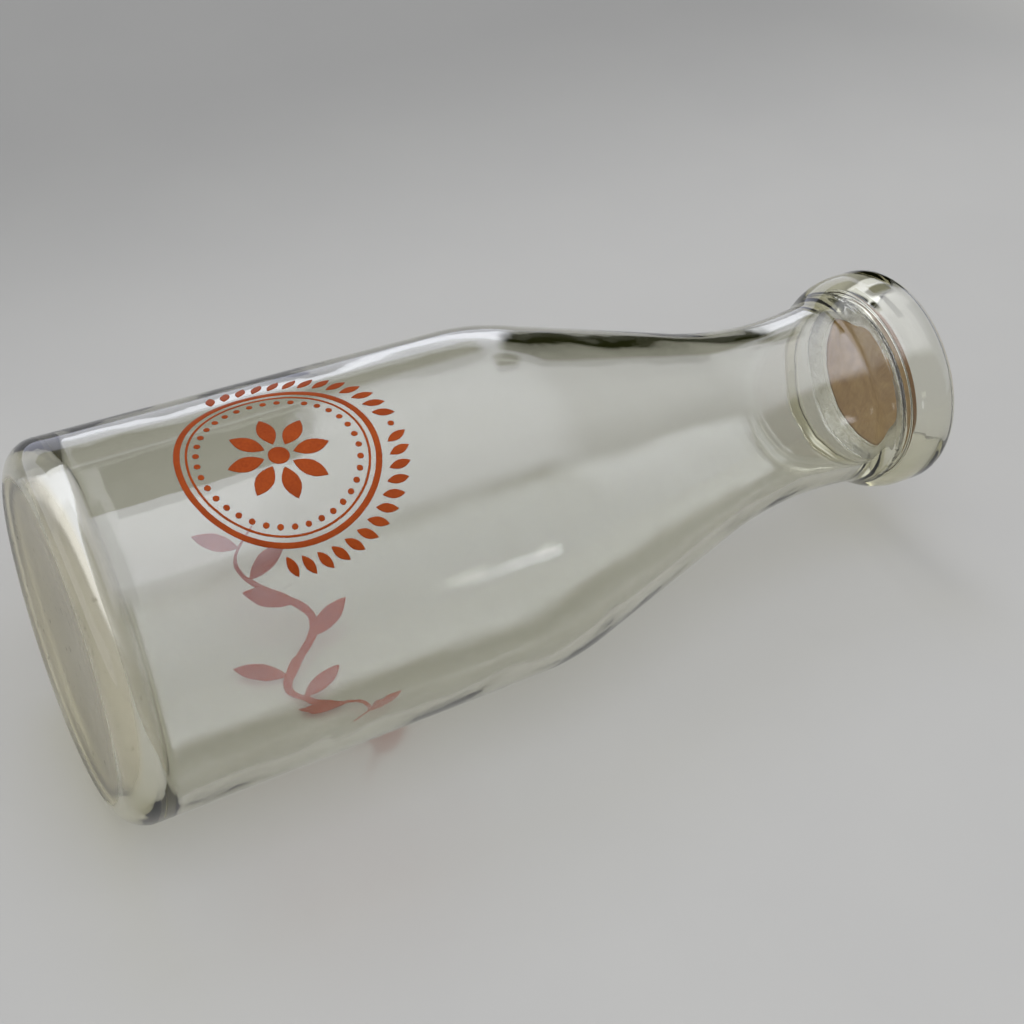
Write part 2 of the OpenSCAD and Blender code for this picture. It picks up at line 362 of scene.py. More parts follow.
# 1 between low and high, with soft edges
def band(tree, value, low, high, soft):
    up = addNode(tree, "ShaderNodeMapRange", {0: value, 1: low - soft, 2: low + soft}, interpolation_type="SMOOTHSTEP")
    down = addNode(tree, "ShaderNodeMapRange", {0: value, 1: high - soft, 2: high + soft, 3: 1.0, 4: 0.0},
                   interpolation_type="SMOOTHSTEP")
    return addNode(tree, "ShaderNodeMath", {0: up, 1: down}, operation="MULTIPLY")


def sodaGlass(finish, stepLow, stepHigh):
    material, tree = newMaterial("soda_lime_glass")
    place = addNode(tree, "ShaderNodeTexCoord").outputs["Object"]
    spot = addNode(tree, "ShaderNodeSeparateXYZ", {0: place}).outputs
    level = addNode(tree, "ShaderNodeCombineXYZ", {0: spot["X"], 1: spot["Y"]})
    radius = addNode(tree, "ShaderNodeVectorMath", {0: level}, operation="LENGTH").outputs["Value"]
    below = -9 * mm
    foot = addNode(tree, "ShaderNodeMath", {
        0: band(tree, spot["Z"], below, finish["footTop"] * mm, 0.5 * mm),
        1: band(tree, radius, below, finish["footRadius"] * mm, 1.2 * mm)}, operation="MULTIPLY")
    wrinkled = addNode(tree, "ShaderNodeMath", {
        0: band(tree, spot["Z"], (stepLow - finish["stepSpill"]) * mm, (stepHigh + finish["stepSpill"]) * mm, 0.7 * mm),
        1: band(tree, radius, below, finish["stepRadius"] * mm, 0.5 * mm)}, operation="MULTIPLY")
    ripple = addNode(tree, "ShaderNodeTexNoise", {"Vector": place, "Scale": 1 / (finish["ripple"] * mm),
                                                  "Detail": 2.0, "Roughness": 0.35})
    grain = addNode(tree, "ShaderNodeTexNoise", {"Vector": place, "Scale": 1 / (finish["grain"] * mm),
                                                 "Detail": 2.0})
    wrinkle = addNode(tree, "ShaderNodeTexNoise", {"Vector": place, "Scale": 1 / (finish["wrinkle"] * mm),
                                                   "Detail": 3.0, "Roughness": 0.6, "Distortion": 0.4})
    grained = addNode(tree, "ShaderNodeMath", {0: grain, 1: foot}, operation="MULTIPLY")
    creased = addNode(tree, "ShaderNodeMath", {0: wrinkle, 1: wrinkled}, operation="MULTIPLY")
    waves = addNode(tree, "ShaderNodeBump", {"Strength": 1.0, "Distance": finish["rippleDepth"] * mm,
                                             "Height": ripple})
    grains = addNode(tree, "ShaderNodeBump", {"Strength": 1.0, "Distance": finish["grainDepth"] * mm,
                                              "Height": grained, "Normal": waves})
    creases = addNode(tree, "ShaderNodeBump", {"Strength": 1.0, "Distance": finish["wrinkleDepth"] * mm,
                                               "Height": creased, "Normal": grains})
    footRough = addNode(tree, "ShaderNodeMath", {0: foot, 1: finish["footRough"]}, operation="MULTIPLY")
    rough = addNode(tree, "ShaderNodeMath", {0: wrinkled, 1: finish["stepRough"], 2: footRough},
                    operation="MULTIPLY_ADD")
    # seeds and grime caught in the grained foot
    seeds = addNode(tree, "ShaderNodeTexNoise", {"Vector": place, "Scale": 1 / (finish["seed"] * mm), "Detail": 2.0})
    dark = addNode(tree, "ShaderNodeMapRange", {0: seeds, 1: 0.66, 2: 0.74})
    soiledFoot = addNode(tree, "ShaderNodeMath", {0: dark, 1: foot}, operation="MULTIPLY")
    # painted shade: the wrinkled step, which scatters light, is painted greyer than the clear glass on both sides
    paintedStepShade = addNode(tree, "ShaderNodeMapRange", {0: wrinkle, 1: 0.35, 2: 0.65, 3: 0.1, 4: 0.6})
    grimeAndStepShadeMask = addNode(tree, "ShaderNodeMath", {0: wrinkled, 1: paintedStepShade, 2: soiledFoot}, operation="MULTIPLY_ADD",
                     use_clamp=True)
    body = addNode(tree, "ShaderNodeMix", {"Factor": foot, "A": linear(finish["clear"]),
                                           "B": linear(finish["footTone"])}, data_type="RGBA")
    colour = addNode(tree, "ShaderNodeMix", {"Factor": grimeAndStepShadeMask, "A": body, "B": linear(finish["grimeAndStepShade"])},
                     data_type="RGBA")
    skin = addNode(tree, "ShaderNodeBsdfPrincipled", {"Base Color": colour, "Roughness": rough, "IOR": 1.52,
                                                      "Transmission Weight": 1.0, "Normal": creases})
    # light goes straight through to the sheet, so the shadow stays pale
    path = addNode(tree, "ShaderNodeLightPath").outputs
    clear = addNode(tree, "ShaderNodeBsdfTransparent", {"Color": linear("#ffffff")})
    both = addNode(tree, "ShaderNodeMixShader", {0: path["Is Shadow Ray"], 1: skin, 2: clear})
    tint, density = finish["depth"]
    deep = addNode(tree, "ShaderNodeVolumeAbsorption", {"Color": linear(tint), "Density": density})
    addNode(tree, "ShaderNodeOutputMaterial", {"Surface": both, "Volume": deep})
    return material


# the floor and the blown wall wander; the outside, the pressed throat and the seat don't
def freedomAt(p):
    fade = bottle["blownFade"]
    return min(1.0, max(0.0, (bottle["blownTo"] - p.y) / fade)) * min(1.0, p.x / fade)


outside, inside = bottleProfile(bottle)
stepTop = capLow[2] / mm - bottle["throat"]
glassMaterial = sodaGlass(glassFinish, stepTop - bottle["throatStep"], stepTop)
points = [Vector((p.x, 0, p.y)) * mm for p in outside + inside[::-1]]
freedoms = [0.0] * len(outside) + [freedomAt(p) for p in inside[::-1]]
profile = lineObject("profile", points, freedoms)
glass = grow(profile, latheTree(), "glass_bottle_blown", Turns=bottle["turns"], Rows=len(points),
             Wander=bottle["wander"] * mm, Wander_size=bottle["wanderSize"] * mm, Glass=glassMaterial)
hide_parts("glass_bottle")
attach(glass, "bottle")
print("glass blown,", len(glass.data.polygons), "faces")

# ---- the enamel: each motif is laid out flat, then wrapped round the glass
enamel = {
    "thickness": 0.12,  # mm over the glass
    "sunk": 0.08,  # and into it, as it is fused on
    "stray": 0.16,  # how far a printed edge wanders, and over what length
    "strayLength": 3.0,
    "cloud": 9.0,  # between the clouds of its colour
    "grain": 0.5,  # between its grains
    "grainDepth": 0.03,
    "shadow": "#d98468",
    "frontTones": ("#7c3210", "#94431a"),
    "backTonesPaintedLighter": ("#943b0c", "#b14d18"),  # painted lighter than the front, to make up for the light it loses, as it is mostly seen through both walls of glass
    "medallion": {"middle": 55.0, "radius": 24.0, "ring": 1.5, "thinRing": 0.6, "ringGap": 1.1, "beads": 36,
                  "bead": 0.8, "petals": 8, "petalLength": 9.0, "petalWidth": 4.4, "eye": 2.6, "petalGap": 0.9},
    "garland": {"gap": 1.4, "leafLength": 5.6, "leafWidth": 2.4, "leaves": 13, "slant": 28.0, "sweep": 104.0},
    "vine": {"middle": 64.0, "length": 84.0, "rise": 7.0, "stem": 2.24, "waves": 2, "leafLength": 15.0,
             "leafWidth": 5.6, "slant": 32.0},
}


# a soft-edged flake with two points, or round where Pointed is 0
def flakeTree():
    tree, given = newTree("enamelFlake", {
        "Length": ("Float", 0.005), "Width": ("Float", 0.002), "Pointed": ("Float", 1.0),
        "Thickness": ("Float", 0.0001), "Sunk": ("Float", 0.0001), "Shift": ("Float", 0.0)})
    ball = addNode(tree, "GeometryNodeMeshUVSphere", {"Segments": 24, "Rings": 9, "Radius": 1.0})
    here = addNode(tree, "GeometryNodeInputPosition")
    spot = addNode(tree, "ShaderNodeSeparateXYZ", {0: here}).outputs
    # narrowing it by its own roundness once more brings both ends to a point
    square = addNode(tree, "ShaderNodeMath", {0: spot["Y"], 1: spot["Y"]}, operation="MULTIPLY")
    left = addNode(tree, "ShaderNodeMath", {0: 1.0, 1: square}, operation="SUBTRACT")
    leftOver = addNode(tree, "ShaderNodeMath", {0: left, 1: 0.0}, operation="MAXIMUM")
    cosine = addNode(tree, "ShaderNodeMath", {0: leftOver}, operation="SQRT")
    lost = addNode(tree, "ShaderNodeMath", {0: cosine, 1: 1.0}, operation="SUBTRACT")
    narrowed = addNode(tree, "ShaderNodeMath", {0: given["Pointed"], 1: lost}, operation="MULTIPLY")
    share = addNode(tree, "ShaderNodeMath", {0: narrowed, 1: 0.5, 2: 0.5}, operation="MULTIPLY_ADD")
    wide = addNode(tree, "ShaderNodeMath", {0: spot["X"], 1: given["Width"]}, operation="MULTIPLY")
    x = addNode(tree, "ShaderNodeMath", {0: wide, 1: share}, operation="MULTIPLY")
    long = addNode(tree, "ShaderNodeMath", {0: spot["Y"], 1: given["Length"]}, operation="MULTIPLY")
    y = addNode(tree, "ShaderNodeMath", {0: long, 1: 0.5, 2: given["Shift"]}, operation="MULTIPLY_ADD")
    # its top and its underside are flat, with steep round edges
    steep = addNode(tree, "ShaderNodeMath", {0: spot["Z"], 1: 2.4}, operation="MULTIPLY")
    notUnder = addNode(tree, "ShaderNodeMath", {0: steep, 1: -1.0}, operation="MAXIMUM")
    swell = addNode(tree, "ShaderNodeMath", {0: notUnder, 1: 1.0}, operation="MINIMUM")
    deep = addNode(tree, "ShaderNodeMath", {0: given["Thickness"], 1: given["Sunk"]}, operation="ADD")
    depth = addNode(tree, "ShaderNodeMath", {0: deep, 1: 0.5}, operation="MULTIPLY")
    middle = addNode(tree, "ShaderNodeMath", {0: given["Thickness"], 1: depth}, operation="SUBTRACT")
    z = addNode(tree, "ShaderNodeMath", {0: swell, 1: depth, 2: middle}, operation="MULTIPLY_ADD")
    place = addNode(tree, "ShaderNodeCombineXYZ", {0: x, 1: y, 2: z})
    shaped = addNode(tree, "GeometryNodeSetPosition", {"Geometry": ball, "Position": place})
    addNode(tree, "NodeGroupOutput", {0: shaped})
    return tree


# copies of a flake round a circle, each turned by the slant from the radius
def circleTree():
    tree, given = newTree("flakesOnCircle", {
        "Flake": ("Geometry", None), "Count": ("Int", 8), "Circle": ("Float", 0.01), "First": ("Float", 0.0),
        "Step": ("Float", 0.5), "Slant": ("Float", 0.0), "Middle": ("Float", 0.05)})
    number = addNode(tree, "GeometryNodeInputIndex")
    angle = addNode(tree, "ShaderNodeMath", {0: number, 1: given["Step"], 2: given["First"]}, operation="MULTIPLY_ADD")
    cosine = addNode(tree, "ShaderNodeMath", {0: angle}, operation="COSINE")
    sine = addNode(tree, "ShaderNodeMath", {0: angle}, operation="SINE")
    x = addNode(tree, "ShaderNodeMath", {0: cosine, 1: given["Circle"]}, operation="MULTIPLY")
    y = addNode(tree, "ShaderNodeMath", {0: sine, 1: given["Circle"], 2: given["Middle"]}, operation="MULTIPLY_ADD")
    place = addNode(tree, "ShaderNodeCombineXYZ", {0: x, 1: y})
    feet = addNode(tree, "GeometryNodePoints", {"Count": given["Count"], "Position": place})
    slanted = addNode(tree, "ShaderNodeMath", {0: angle, 1: given["Slant"]}, operation="ADD")
    turn = addNode(tree, "ShaderNodeMath", {0: slanted, 1: math.pi / 2}, operation="SUBTRACT")
    upright = addNode(tree, "ShaderNodeCombineXYZ", {2: turn})
    turned = addNode(tree, "FunctionNodeEulerToRotation", {0: upright})
    copies = addNode(tree, "GeometryNodeInstanceOnPoints", {"Points": feet, "Instance": given["Flake"],
                                                            "Rotation": turned})
    real = addNode(tree, "GeometryNodeRealizeInstances", {0: copies})
    addNode(tree, "NodeGroupOutput", {0: real})
    return tree


# a printed line along a curve, with soft edges
def lineTree():
    tree, given = newTree("enamelLine", {
        "Path": ("Geometry", None), "Width": ("Float", 0.001), "Scale": ("Float", 1.0),
        "Thickness": ("Float", 0.0001), "Sunk": ("Float", 0.0001)})
    deep = addNode(tree, "ShaderNodeMath", {0: given["Thickness"], 1: given["Sunk"]}, operation="ADD")
    section = addNode(tree, "GeometryNodeCurvePrimitiveQuadrilateral", {"Width": given["Width"], "Height": deep})
    edge = addNode(tree, "ShaderNodeMath", {0: deep, 1: 0.45}, operation="MULTIPLY")
    softened = addNode(tree, "GeometryNodeFilletCurve", {"Curve": section, "Count": 2, "Radius": edge}, mode="POLY")
    line = addNode(tree, "GeometryNodeCurveToMesh", {"Curve": given["Path"], "Profile Curve": softened,
                                                     "Scale": given["Scale"], "Fill Caps": True})
    above = addNode(tree, "ShaderNodeMath", {0: given["Thickness"], 1: given["Sunk"]}, operation="SUBTRACT")
    middle = addNode(tree, "ShaderNodeMath", {0: above, 1: 0.5}, operation="MULTIPLY")
    rise = addNode(tree, "ShaderNodeCombineXYZ", {2: middle})
    placed = addNode(tree, "GeometryNodeSetPosition", {"Geometry": line, "Offset": rise})
    addNode(tree, "NodeGroupOutput", {0: placed})
    return tree


# wraps flat work round the body: x goes round it, y up it and z out of it
def wrapTree():
    tree, given = newTree("wrapOnBody", {
        "Flat": ("Geometry", None), "Body radius": ("Float", 0.05), "Heel": ("Float", 0.008),
        "Lean": ("Float", 0.02), "Facing": ("Float", 0.0), "Stray": ("Float", 0.0), "Enamel": ("Material", None)})
    here = addNode(tree, "GeometryNodeInputPosition")
    spot = addNode(tree, "ShaderNodeSeparateXYZ", {0: here}).outputs
    noise = addNode(tree, "ShaderNodeTexNoise", {"Vector": here, "Scale": 1 / (enamel["strayLength"] * mm),
                                                 "Detail": 1.0})
    stray = addNode(tree, "ShaderNodeSeparateXYZ", {0: noise.outputs["Color"]}).outputs
    strayed = []
    for way in ("X", "Y"):
        centred = addNode(tree, "ShaderNodeMath", {0: stray[way], 1: 0.5}, operation="SUBTRACT")
        strayed.append(addNode(tree, "ShaderNodeMath", {0: centred, 1: given["Stray"], 2: spot[way]},
                               operation="MULTIPLY_ADD"))
    x, y = strayed
    arc = addNode(tree, "ShaderNodeMath", {0: x, 1: given["Body radius"]}, operation="DIVIDE")
    angle = addNode(tree, "ShaderNodeMath", {0: arc, 1: given["Facing"]}, operation="ADD")
    overHeel = addNode(tree, "ShaderNodeMath", {0: y, 1: given["Heel"]}, operation="SUBTRACT")
    leaned = addNode(tree, "ShaderNodeMath", {0: overHeel, 1: given["Lean"]}, operation="MULTIPLY")
    skin = addNode(tree, "ShaderNodeMath", {0: given["Body radius"], 1: leaned}, operation="SUBTRACT")
    radius = addNode(tree, "ShaderNodeMath", {0: skin, 1: spot["Z"]}, operation="ADD")
    sine = addNode(tree, "ShaderNodeMath", {0: angle}, operation="SINE")
    cosine = addNode(tree, "ShaderNodeMath", {0: angle}, operation="COSINE")
    sideways = addNode(tree, "ShaderNodeMath", {0: radius, 1: sine}, operation="MULTIPLY")
    forward = addNode(tree, "ShaderNodeMath", {0: radius, 1: cosine}, operation="MULTIPLY")
    backward = addNode(tree, "ShaderNodeMath", {0: forward, 1: -1.0}, operation="MULTIPLY")
    place = addNode(tree, "ShaderNodeCombineXYZ", {0: sideways, 1: backward, 2: y})
    wrapped = addNode(tree, "GeometryNodeSetPosition", {"Geometry": given["Flat"], "Position": place})
    smooth = addNode(tree, "GeometryNodeSetShadeSmooth", {0: wrapped})
    real = addNode(tree, "GeometryNodeRealizeInstances", {0: smooth})
    done = addNode(tree, "GeometryNodeSetMaterial", {"Geometry": real, "Material": given["Enamel"]})
    addNode(tree, "NodeGroupOutput", {0: done})
    return tree


flakes, onCircle, printedLine, wrapOnBody = flakeTree(), circleTree(), lineTree(), wrapTree()


def flake(tree, given, length, width, pointed=1.0, shift=0.0):
    return addNode(tree, "GeometryNodeGroup", {
        "Length": length * mm, "Width": width * mm, "Pointed": pointed, "Shift": shift * mm,
        "Thickness": given["Thickness"], "Sunk": given["Sunk"]}, node_tree=flakes)


# joins the flat pieces, wraps them and turns them into one plain mesh on the bottle
def fireOn(tree, given, parts, name, node, coat, facing=0.0):
    joined = addNode(tree, "GeometryNodeJoinGeometry")
    for part in parts:
        tree.links.new(part.outputs[0], joined.inputs[0])
    flatWork = {key: given[key] for key in ("Body radius", "Heel", "Lean", "Facing", "Stray", "Enamel")}
    flatWork["Flat"] = joined
    wrapped = addNode(tree, "GeometryNodeGroup", flatWork, node_tree=wrapOnBody)
    addNode(tree, "NodeGroupOutput", {0: wrapped})
    start = bpy.data.objects.new(name, bpy.data.meshes.new(name))
    bpy.context.collection.objects.link(start)
    made = grow(start, tree, name, Thickness=enamel["thickness"] * mm, Sunk=enamel["sunk"] * mm,
                Stray=enamel["stray"] * mm, Body_radius=bottle["bodyRadius"] * mm, Facing=facing,
                Heel=bottle["heelRound"] * mm, Lean=math.tan(math.radians(bottle["bodyLean"])),
                Enamel=coat)
    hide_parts(node)
    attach(made, "bottle")
    print(name, "fired on,", len(made.data.polygons), "faces")


layerInputs = {
    "Geometry": ("Geometry", None), "Thickness": ("Float", 0.0001), "Sunk": ("Float", 0.0001),
    "Stray": ("Float", 0.0), "Body radius": ("Float", 0.05), "Heel": ("Float", 0.008), "Lean": ("Float", 0.02),
    "Facing": ("Float", 0.0), "Enamel": ("Material", None)}


# opaque orange-red ceramic enamel, screened on and fired: half gloss, a little uneven in colour
def firedEnamel(name, tones):
    material, tree = newMaterial(name)
    place = addNode(tree, "ShaderNodeTexCoord").outputs["Object"]
    cloud = addNode(tree, "ShaderNodeTexNoise", {"Vector": place, "Scale": 1 / (enamel["cloud"] * mm), "Detail": 3.0})
    grain = addNode(tree, "ShaderNodeTexNoise", {"Vector": place, "Scale": 1 / (enamel["grain"] * mm), "Detail": 2.0})
    cloudShare = addNode(tree, "ShaderNodeMath", {0: cloud, 1: 0.6}, operation="MULTIPLY")
    shade = addNode(tree, "ShaderNodeMath", {0: grain, 1: 0.45, 2: cloudShare}, operation="MULTIPLY_ADD")
    colour = addNode(tree, "ShaderNodeValToRGB", {0: shade})
    for element, at, tone in zip(colour.color_ramp.elements, (0.34, 0.72), tones):
        element.position, element.color = at, linear(tone)
    rough = addNode(tree, "ShaderNodeMapRange", {0: grain, 1: 0.3, 2: 0.7, 3: 0.3, 4: 0.48})
    bump = addNode(tree, "ShaderNodeBump", {"Strength": 0.35, "Distance": enamel["grainDepth"] * mm, "Height": grain})
    skin = addNode(tree, "ShaderNodeBsdfPrincipled", {"Base Color": colour, "Roughness": rough, "IOR": 1.6,
                                                      "Specular IOR Level": 0.05, "Normal": bump})
    # thin enamel lets some reddened light through to the shadow, and the glass's own faint mirror images of
    # the print are left out, as they would read as a second print
    path = addNode(tree, "ShaderNodeLightPath").outputs
    glow = addNode(tree, "ShaderNodeBsdfTransparent", {"Color": linear(enamel["shadow"])})
    lit = addNode(tree, "ShaderNodeMixShader", {0: path["Is Shadow Ray"], 1: skin, 2: glow})
    mirrored = addNode(tree, "ShaderNodeMath", {0: path["Glossy Depth"], 1: 0.5}, operation="GREATER_THAN")
    clear = addNode(tree, "ShaderNodeBsdfTransparent")
    both = addNode(tree, "ShaderNodeMixShader", {0: mirrored, 1: lit, 2: clear})
    addNode(tree, "ShaderNodeOutputMaterial", {"Surface": both})
    return material


frontEnamel = firedEnamel("fired_orange_enamel", enamel["frontTones"])
# the same enamel, copied and painted lighter for the vine on the far side to stand in for light
backEnamelPaintedLighter = firedEnamel("fired_orange_enamel_back", enamel["backTonesPaintedLighter"])


def medallion(m):
    tree, given = newTree("medallion", layerInputs)
    thinRing = m["radius"] - m["ring"] - m["ringGap"]
    beadCircle = thinRing - m["thinRing"] - m["ringGap"] - m["bead"]
    petalCircle = m["eye"] + m["petalGap"] + m["petalLength"] / 2
    parts = []
    for outer, width in ((m["radius"], m["ring"]), (thinRing, m["thinRing"])):
        loop = addNode(tree, "GeometryNodeCurvePrimitiveCircle", {"Resolution": 160,
                                                                  "Radius": (outer - width / 2) * mm})
        lifted = addNode(tree, "GeometryNodeTransform", {"Geometry": loop, "Translation": (0, m["middle"] * mm, 0)})
        parts.append(addNode(tree, "GeometryNodeGroup", {
            "Path": lifted, "Width": width * mm, "Thickness": given["Thickness"], "Sunk": given["Sunk"]},
                             node_tree=printedLine))
    # beads, petals and eye: how many, on which circle, how long and wide, and whether they have points
    for count, circle, length, width, pointed in (
            (m["beads"], beadCircle, 2 * m["bead"], 2 * m["bead"], 0.0),
            (m["petals"], petalCircle, m["petalLength"], m["petalWidth"], 1.0),
            (1, 0.0, 2 * m["eye"], 2 * m["eye"], 0.0)):
        parts.append(addNode(tree, "GeometryNodeGroup", {
            "Flake": flake(tree, given, length, width, pointed), "Count": count, "Circle": circle * mm,
            "Step": math.tau / count, "Middle": m["middle"] * mm}, node_tree=onCircle))
    fireOn(tree, given, parts, "medallion_enamel", "front_medallion", frontEnamel)


def garland(g, m):
    tree, given = newTree("garland", layerInputs)
    circle = (m["radius"] + g["gap"] + g["leafLength"] / 2) * mm
    pitch = math.radians(g["sweep"] / g["leaves"])
    leaf = flake(tree, given, g["leafLength"], g["leafWidth"])
    bead = flake(tree, given, 2 * m["bead"], 2 * m["bead"], 0.0)
    parts = [addNode(tree, "GeometryNodeGroup", {
        "Flake": leaf, "Count": g["leaves"], "Circle": circle, "First": math.pi / 2 + side * pitch,
        "Step": side * pitch, "Slant": -side * math.radians(g["slant"]), "Middle": m["middle"] * mm},
                     node_tree=onCircle) for side in (-1, 1)]
    parts.append(addNode(tree, "GeometryNodeGroup", {"Flake": bead, "Count": 1, "Circle": circle,
                                                     "First": math.pi / 2, "Middle": m["middle"] * mm},
                         node_tree=onCircle))
    fireOn(tree, given, parts, "garland_enamel", "front_garland", frontEnamel)


def vine(v):
    tree, given = newTree("vine", layerInputs)
    length, rise, middle = v["length"] * mm, v["rise"] * mm, v["middle"] * mm
    along = addNode(tree, "GeometryNodeSplineParameter").outputs["Factor"]
    line = addNode(tree, "GeometryNodeCurvePrimitiveLine", {"Start": (-length / 2, 0, 0), "End": (length / 2, 0, 0)})
    dotted = addNode(tree, "GeometryNodeResampleCurve", {"Curve": line, "Count": 120})
    centred = addNode(tree, "ShaderNodeMath", {0: along, 1: 0.5}, operation="SUBTRACT")
    phase = addNode(tree, "ShaderNodeMath", {0: centred, 1: math.tau * v["waves"]}, operation="MULTIPLY")
    wave = addNode(tree, "ShaderNodeMath", {0: phase}, operation="SINE")
    stemHeight = addNode(tree, "ShaderNodeMath", {0: wave, 1: rise, 2: middle}, operation="MULTIPLY_ADD")
    lift = addNode(tree, "ShaderNodeCombineXYZ", {1: stemHeight})
    waved = addNode(tree, "GeometryNodeSetPosition", {"Geometry": dotted, "Offset": lift})
    # the stem is thickest half way and a quarter as thick at both ends
    bow = addNode(tree, "ShaderNodeMath", {0: centred, 1: math.pi}, operation="MULTIPLY")
    fullness = addNode(tree, "ShaderNodeMath", {0: bow}, operation="COSINE")
    taper = addNode(tree, "ShaderNodeMath", {0: fullness, 1: 0.75, 2: 0.25}, operation="MULTIPLY_ADD")
    parts = [addNode(tree, "GeometryNodeGroup", {
        "Path": waved, "Width": v["stem"] * mm, "Scale": taper, "Thickness": given["Thickness"],
        "Sunk": given["Sunk"]}, node_tree=printedLine)]
    # the leaves stand on the stem by turns on either side
    leaves = 4 * v["waves"]
    number = addNode(tree, "GeometryNodeInputIndex")
    reach = addNode(tree, "ShaderNodeMath", {0: number, 1: length / leaves, 2: length * (0.5 / leaves - 0.5)},
                    operation="MULTIPLY_ADD")
    leafPhase = addNode(tree, "ShaderNodeMath", {0: reach, 1: math.tau * v["waves"] / length}, operation="MULTIPLY")
    leafWave = addNode(tree, "ShaderNodeMath", {0: leafPhase}, operation="SINE")
    leafHeight = addNode(tree, "ShaderNodeMath", {0: leafWave, 1: rise, 2: middle}, operation="MULTIPLY_ADD")
    foot = addNode(tree, "ShaderNodeCombineXYZ", {0: reach, 1: leafHeight})
    feet = addNode(tree, "GeometryNodePoints", {"Count": leaves, "Position": foot})
    odd = addNode(tree, "ShaderNodeMath", {0: number, 1: 2.0}, operation="MODULO")
    slant = math.radians(v["slant"])
    turn = addNode(tree, "ShaderNodeMath", {0: odd, 1: math.pi + 2 * slant, 2: -slant}, operation="MULTIPLY_ADD")
    upright = addNode(tree, "ShaderNodeCombineXYZ", {2: turn})
    turned = addNode(tree, "FunctionNodeEulerToRotation", {0: upright})
    leaf = flake(tree, given, v["leafLength"], v["leafWidth"], 1.0, v["leafLength"] / 2)
    copies = addNode(tree, "GeometryNodeInstanceOnPoints", {"Points": feet, "Instance": leaf, "Rotation": turned})
    parts.append(addNode(tree, "GeometryNodeRealizeInstances", {0: copies}))
    fireOn(tree, given, parts, "vine_enamel", "back_vine", backEnamelPaintedLighter, math.pi)


medallion(enamel["medallion"])
garland(enamel["garland"], enamel["medallion"])
vine(enamel["vine"])

# ---- the cap: a disc of waxed paperboard, pressed flat onto its seat
paper = {
    "rimRound": 0.34,  # mm
    "bow": 0.06,  # how far the middle lifts off the seat's level
    "crease": 2.9,  # from the rim in to the pressed crease
    "creaseWidth": 0.8,
    "fibre": 0.55,  # between fibres, twice as coarse as real ones so that they show
    "cloud": 6.0,  # between the wax's darker clouds
    "fibreDepth": 0.06,
    "ply": 0.3,
    "soaked": 1.3,  # the rim soaks up milk and goes darker this far in
    "tones": ("#be9869", "#e0bc88"),
    "rimTone": "#835f34",
    "turns": 180,
}


def capProfile(p):
    radius, low, high = capHigh[0] / mm, capLow[2] / mm, capHigh[2] / mm
    foot, crease = p["rimRound"], radius - p["crease"]
    dish = [(0, p["bow"]), (crease * 0.5, p["bow"] * 0.96), (crease - p["creaseWidth"], p["bow"] * 0.8),
            (crease - p["creaseWidth"] * 0.4, p["bow"] * 0.15), (crease, 0), (radius - 2 * foot, 0)]
    under = [Vector((r, low + lift)) for r, lift in dish]
    over = [Vector((r, high - lift)) for r, lift in dish[::-1]]
    rim = arcPoints(Vector((radius - foot, low + foot)), foot, -90, 0, 0.1)
    rim += arcPoints(Vector((radius - foot, high - foot)), foot, 0, 90, 0.1)
    return under + rim + over


